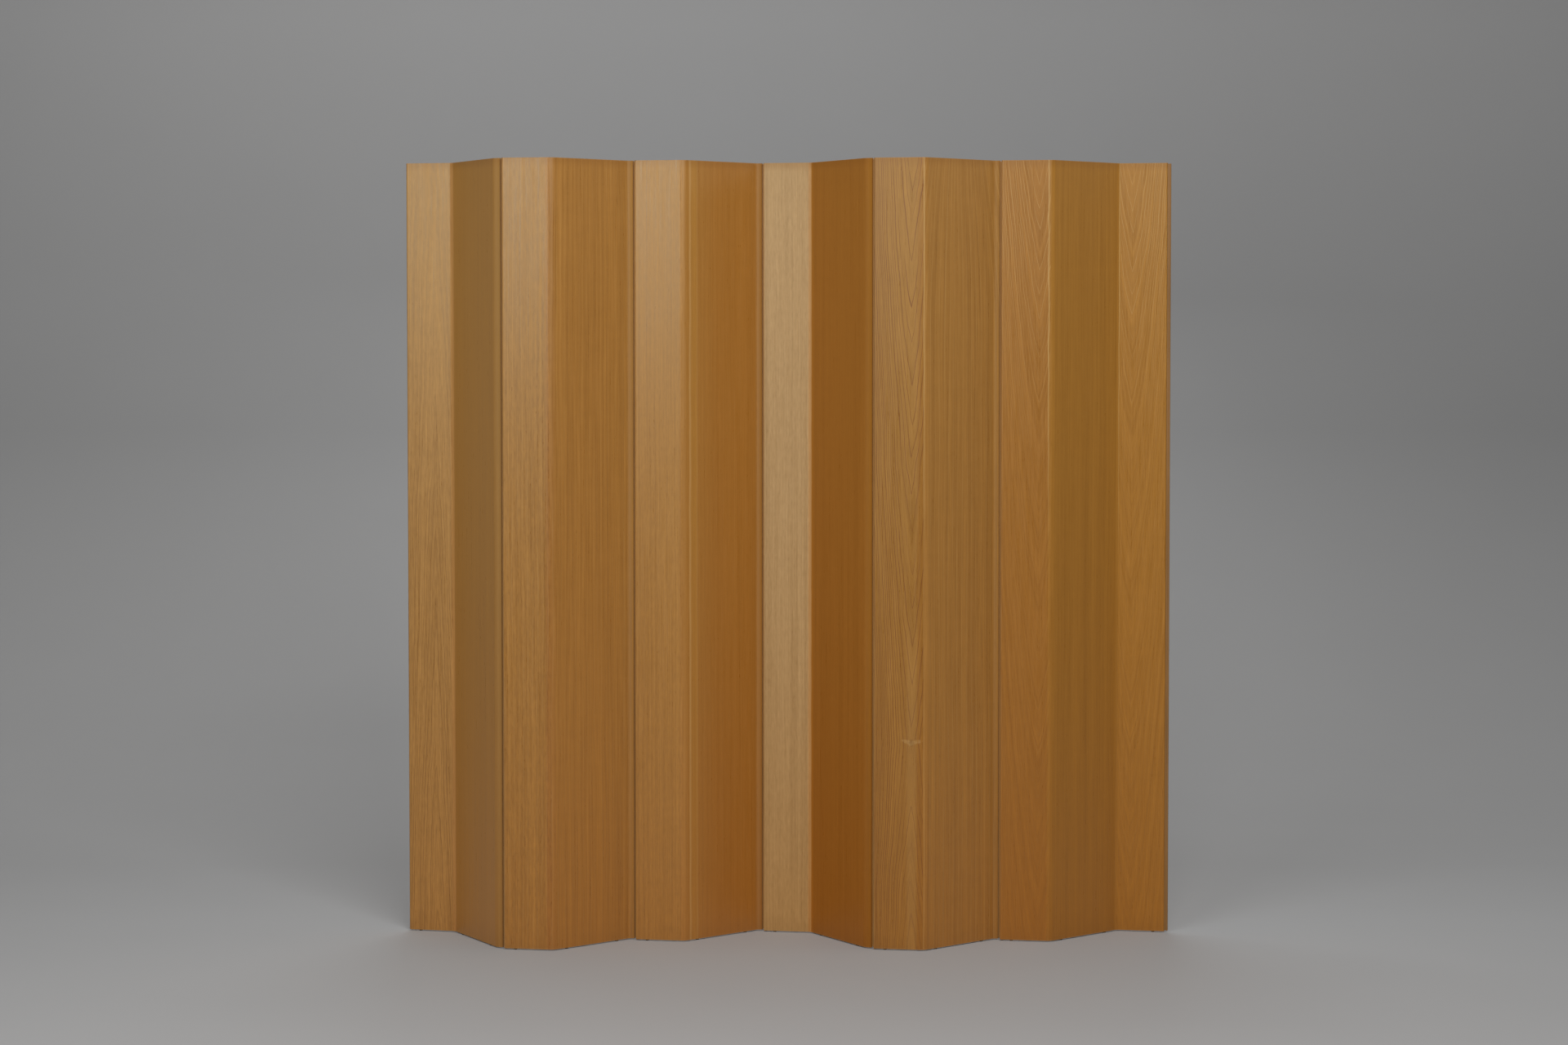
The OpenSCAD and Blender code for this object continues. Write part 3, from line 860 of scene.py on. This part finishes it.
bpy.ops.mesh.bevel(offset=cove_radius, segments=cove_steps, affect="EDGES")
bpy.ops.object.mode_set(mode="OBJECT")
bpy.ops.object.shade_smooth()

# Greys of the paper by their run: the height on the backdrop, and on the floor half
# the way to the foot of the cove, counted down. They paint the light and shade that
# fall across the sheet, such as the darker band low on the backdrop.
floor_share = 0.5
painted_grey_runs = [(-1.1, 179), (-0.6, 180), (-0.25, 176), (0.05, 181), (0.28, 180), (0.62, 175),
             (1.02, 167), (1.44, 173), (1.92, 178), (2.54, 186)]
run_low = -1.1
run_high = 2.6
tooth_scale = (3.0, 3.0, 3.0)
tooth_depth = 0.015
paper_roughness = 0.7
fading_edge = (4.9, 8.0)

paper, tree, shader = new_finish("studio_paper")
seen_at = put(tree, "ShaderNodeTexCoord", {}).outputs["Object"]
sheet_place = put(tree, "ShaderNodeSeparateXYZ", {0: seen_at}).outputs
cove_foot = sheet_back - cove_radius
floor_run = calc(tree, "SUBTRACT", calc(tree, "MINIMUM", sheet_place[1], cove_foot), cove_foot)
sheet_run = calc(tree, "MULTIPLY_ADD", floor_run, floor_share, sheet_place[2])
painted_greys = tree.nodes.new("ShaderNodeValToRGB")
feed(tree, painted_greys.inputs[0], between(tree, sheet_run, run_low, run_high))
while len(painted_greys.color_ramp.elements) < len(painted_grey_runs):
    painted_greys.color_ramp.elements.new(1.0)
for stop, (run, grey) in zip(painted_greys.color_ramp.elements, painted_grey_runs):
    stop.position = (run - run_low) / (run_high - run_low)
    stop.color = linear(grey, grey, grey)
tooth = clouded(tree, own_noise(tree, tooth_scale, 3.0), 0.0, 1.0, tooth_depth)
feed(tree, shader.inputs["Base Color"], tinted(tree, 1.0, painted_greys.outputs[0], tooth, "MULTIPLY"))
shader.inputs["Roughness"].default_value = paper_roughness
far_off = between(tree, reach(tree, sheet_place[0], sheet_place[1]), *fading_edge, smooth=True)
open_back = put(tree, "ShaderNodeNewGeometry", {}).outputs["Backfacing"]
gone = calc(tree, "MAXIMUM", far_off, open_back)
clear = put(tree, "ShaderNodeBsdfTransparent", {}).outputs[0]
shown = put(tree, "ShaderNodeMixShader", {0: gone, 1: shader.outputs[0], 2: clear}).outputs[0]
feed(tree, tree.nodes["Material Output"].inputs["Surface"], shown)
cove.data.materials.append(paper)


# Light: two soft boxes in front and above lay a sheen on the flanges, a weak one
# stands at the right, one behind and one over the backdrop. The boxes themselves
# aren't seen, and the room gives a low even fill.
room_level = 0.2
seen_level = 0.16
soft_boxes = {
    "left_box": {"place": (-2.0, -3.4, 2.4), "size": (2.2, 2.0), "power": 51.0, "aim": (0.0, 0.0, 1.0)},
    "right_box": {"place": (0.9, -3.6, 3.3), "size": (2.2, 1.4), "power": 90.0, "aim": (0.0, 0.0, 1.0)},
    "side_box": {"place": (4.0, -0.3, 2.8), "size": (1.2, 1.0), "power": 7.0, "aim": (0.7, 0.1, 1.5)},
    "back_box": {"place": (0.1, 3.3, 2.9), "size": (2.6, 1.6), "power": 20.0, "aim": (0.0, 0.0, 0.9)},
    "backdrop_box": {"place": (-1.2, 1.5, 4.4), "size": (3.0, 0.6), "power": 24.0, "aim": (-0.6, 4.0, 1.0)},
}

for title, made in soft_boxes.items():
    lamp = bpy.data.lights.new(title, "AREA")
    lamp.shape = "RECTANGLE"
    lamp.size, lamp.size_y = made["size"]
    lamp.energy = made["power"]
    box = bpy.data.objects.new(title, lamp)
    bpy.context.scene.collection.objects.link(box)
    box.location = made["place"]
    box.visible_camera = False
    across, ahead, up = (target - place for target, place in zip(made["aim"], made["place"]))
    box.rotation_euler = (math.atan2(math.hypot(across, ahead), -up), 0.0, math.atan2(-across, ahead))

room = bpy.data.worlds.new("room")
room.use_nodes = True
tree = room.node_tree
rays = put(tree, "ShaderNodeLightPath", {}).outputs
seen = calc(tree, "MAXIMUM", rays["Is Camera Ray"], rays["Is Glossy Ray"])
seen = calc(tree, "MAXIMUM", seen, rays["Is Transmission Ray"])
background = tree.nodes["Background"]
background.inputs["Color"].default_value = (1.0, 1.0, 1.0, 1.0)
feed(tree, background.inputs["Strength"], pick(tree, seen, room_level, seen_level))
bpy.context.scene.world = room


# Camera: at chest height, straight in front of the screen and tilted down by two
# degrees, with the picture shifted down a little so that the uprights stay near
# parallel.
camera_place = (-0.0093, -6.170, 1.33)
camera_tilt = math.radians(2.0)
camera_lens = 64.12
camera_film = 36.0
camera_shift_down = 0.0529

eye = bpy.data.cameras.new("camera")
eye.lens = camera_lens
eye.sensor_width = camera_film
eye.shift_y = -camera_shift_down
camera = bpy.data.objects.new("camera", eye)
bpy.context.scene.collection.objects.link(camera)
camera.location = camera_place
camera.rotation_euler = (math.radians(90) - camera_tilt, 0.0, 0.0)
bpy.context.scene.camera = camera
bpy.context.scene.view_settings.view_transform = "Standard"
